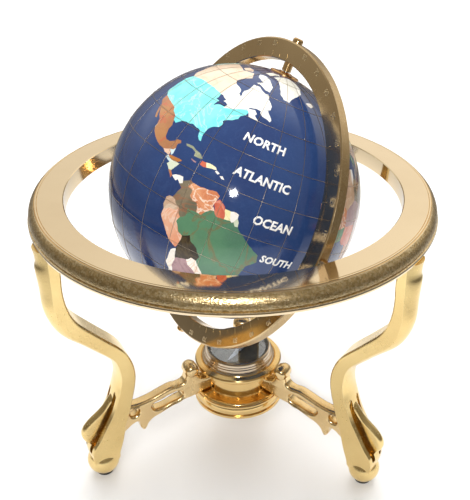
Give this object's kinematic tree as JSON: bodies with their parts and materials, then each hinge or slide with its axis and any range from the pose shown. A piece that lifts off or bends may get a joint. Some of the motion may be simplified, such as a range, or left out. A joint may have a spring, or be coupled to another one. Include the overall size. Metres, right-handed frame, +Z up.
{
  "type": "desktop globe on stand",
  "caption": "Stone-inlaid globe in a swinging meridian ring, held in a horizon ring on three claw-footed legs with a compass drum on struts between them.",
  "frame": {"origin": "on the table, under the centre of the horizon ring", "axes": "+Z up, -Y is the front, midway between the two front legs"},
  "size_m": [0.2438, 0.246, 0.2739],
  "materials": {
    "ring_gold": "polished face with a sanded outer band",
    "cast_gold": "satin gold plate on a casting",
    "meridian_gold": "polished faces with sanded rim",
    "brass_fittings": "polished",
    "steel": "plain",
    "needle_steel": "blued with a pale tip",
    "black_rubber": "matte",
    "clear_glass": "clear",
    "grey_card": "matte",
    "cast_resin": "cast",
    "blue_stone": "polished stone",
    "turquoise_stone": "polished stone",
    "green_stone": "polished stone",
    "pearl_shell": "polished shell",
    "red_stone": "polished stone",
    "banded_stone": "polished stone",
    "cream_stone": "polished stone"
  },
  "bodies": {
    "stand": {"horizon_ring": "ring_gold", "leg_right": "cast_gold", "leg_left": "cast_gold", "leg_back": "cast_gold", "leg_studs": "steel", "foot_pads": "black_rubber", "strut_right": "cast_gold", "strut_left": "cast_gold", "strut_back": "cast_gold", "strut_screws": "steel", "drum_base": "ring_gold", "drum_head": "ring_gold", "bezel_ring": "ring_gold", "compass_glass": "clear_glass", "compass_bowl": "brass_fittings", "compass_card": "grey_card", "compass_post": "brass_fittings", "tie_washer": "steel", "tie_bolt": "steel", "pivot_pins": "steel", "pivot_collars": "brass_fittings"},
    "meridian": {"meridian_ring": "meridian_gold", "polar_pins": "steel", "polar_nuts": "brass_fittings", "polar_spacers": "brass_fittings"},
    "globe": {"globe_core": "cast_resin", "ocean_layer": "blue_stone", "globe_bushes": "brass_fittings", "cap_north": "brass_fittings", "cap_south": "brass_fittings", "land_north_america": "turquoise_stone", "land_south_america": "green_stone", "land_greenland": "pearl_shell", "land_africa": "red_stone", "land_eurasia": "banded_stone", "land_australia": "cream_stone"},
    "needle": {"compass_needle": "needle_steel"}
  },
  "joints": [
    {"name": "meridian_swing", "type": "hinge", "parent": "stand", "child": "meridian", "pos_m": [0, 0, 0.1868], "axis": [0.5446, -0.8387, 0], "continuous": true},
    {"name": "globe_spin", "type": "hinge", "parent": "meridian", "child": "globe", "pos_m": [0, 0, 0.1868], "axis": [0.3663, 0.2379, 0.8996], "continuous": true},
    {"name": "needle_turn", "type": "hinge", "parent": "stand", "child": "needle", "pos_m": [0, 0, 0.067], "axis": [0, 0, 1], "continuous": true}
  ]
}
